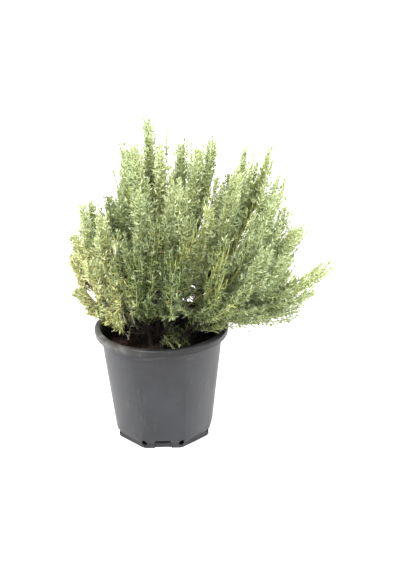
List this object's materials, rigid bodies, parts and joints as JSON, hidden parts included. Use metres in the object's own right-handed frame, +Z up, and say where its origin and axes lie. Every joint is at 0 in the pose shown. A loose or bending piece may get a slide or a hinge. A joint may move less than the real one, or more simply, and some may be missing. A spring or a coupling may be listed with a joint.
{
  "type": "potted thyme plant",
  "caption": "Bushy common thyme with upright leafy stems that spread to one side, standing in peat soil in a round tapered nursery pot with a rolled rim and drainage holes.",
  "frame": {"origin": "centre of the pot's underside, on the surface it stands on", "axes": "+Z up through the pot, -Y towards the front where the drainage slot is, +X towards the long side sprays"},
  "size_m": [0.2757, 0.2019, 0.3387],
  "materials": {
    "pot": "dark grey moulded plastic, satin, dusty and scuffed at the rim",
    "soil": "damp black-brown peat with reddish fibres",
    "bare_wood": "dry pale twig",
    "thyme": "soft grey-green to yellow-green leaves on brown woody stems"
  },
  "bodies": {
    "root": {"pot": "pot", "soil": "soil", "bare_twig": "bare_wood", "thyme_stem_01": "thyme", "thyme_stem_02": "thyme", "thyme_stem_03": "thyme", "thyme_stem_04": "thyme", "thyme_stem_05": "thyme", "thyme_stem_06": "thyme", "thyme_stem_07": "thyme", "thyme_stem_08": "thyme", "thyme_stem_09": "thyme", "thyme_stem_10": "thyme", "thyme_stem_11": "thyme", "thyme_stem_12": "thyme", "thyme_stem_13": "thyme"}
  },
  "joints": []
}
